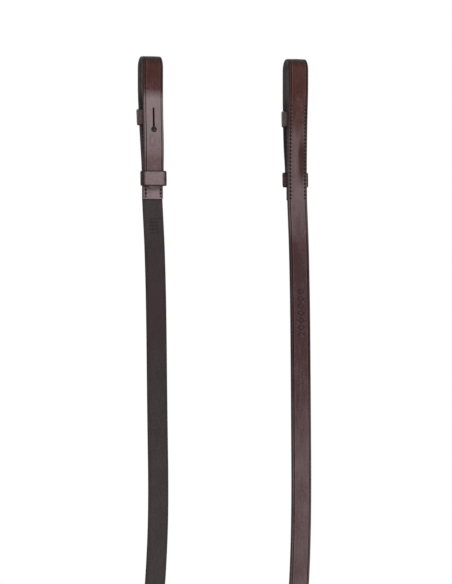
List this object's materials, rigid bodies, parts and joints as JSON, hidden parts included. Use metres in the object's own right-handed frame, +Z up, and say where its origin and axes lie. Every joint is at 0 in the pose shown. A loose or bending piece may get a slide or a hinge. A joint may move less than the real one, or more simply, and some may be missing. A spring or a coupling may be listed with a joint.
{
  "type": "leather riding reins",
  "caption": "Pair of flat leather riding reins with looped hook-stud bit ends, sewn keepers and a middle buckle, hanging with the spare length wound in a coil.",
  "frame": {"origin": "on the axis of the rail through both bit loops, midway between them", "axes": "+Z up along the hanging reins, +X along the rail towards the right rein"},
  "size_m": [0.142, 0.105, 0.5795],
  "materials": {
    "rein_leather": "satin grain outside, matte flesh inside",
    "lining_leather": "matte",
    "keeper_leather": "satin",
    "thread": "waxed thread",
    "buckle_metal": "polished",
    "cotton_tape": "woven tape"
  },
  "bodies": {
    "reins": {"left_bit_end": "rein_leather", "left_lining": "lining_leather", "left_upper_keeper": "keeper_leather", "left_lower_keeper": "keeper_leather", "left_hook_stud": "buckle_metal", "left_bit_stitching": "thread", "left_rein_strap": "rein_leather", "left_rein_coil": "rein_leather", "right_bit_end": "rein_leather", "right_lining": "lining_leather", "right_upper_keeper": "keeper_leather", "right_lower_keeper": "keeper_leather", "right_hook_stud": "buckle_metal", "right_bit_stitching": "thread", "right_rein_strap": "rein_leather", "right_rein_coil": "rein_leather", "buckle_chape": "rein_leather", "chape_stitching": "thread", "point_end": "rein_leather", "fixed_keeper": "keeper_leather", "front_coil_tie": "cotton_tape", "rear_coil_tie": "cotton_tape"},
    "left_billet": {"left_billet": "rein_leather"},
    "right_billet": {"right_billet": "rein_leather"},
    "buckle_frame": {"buckle_frame": "buckle_metal"},
    "buckle_tongue": {"buckle_tongue": "buckle_metal"},
    "running_keeper": {"running_keeper": "keeper_leather"}
  },
  "joints": [
    {"name": "left_billet_lift", "type": "hinge", "parent": "reins", "child": "left_billet", "pos_m": [-0.0605, -0.00945, -0.006], "axis": [-1, 0, 0], "range_deg": [0, 100], "deforming": ["left_lower_keeper"]},
    {"name": "right_billet_lift", "type": "hinge", "parent": "reins", "child": "right_billet", "pos_m": [0.0605, 0.00945, -0.006], "axis": [1, 0, 0], "range_deg": [0, 100], "deforming": ["right_lower_keeper"]},
    {"name": "buckle_frame_lift", "type": "hinge", "parent": "reins", "child": "buckle_frame", "pos_m": [0, -0.00663, -0.47605], "axis": [1, 0, 0], "range_deg": [0, 30], "deforming": ["point_end"]},
    {"name": "tongue_lift", "type": "hinge", "parent": "buckle_frame", "child": "buckle_tongue", "pos_m": [0, -0.00663, -0.47605], "axis": [1, 0, 0], "range_deg": [0, 60], "deforming": ["point_end"]},
    {"name": "running_keeper_slide", "type": "hinge", "parent": "reins", "child": "running_keeper", "pos_m": [0, 0, -0.52042], "axis": [1, 0, 0], "range_deg": [-7, 7]}
  ]
}
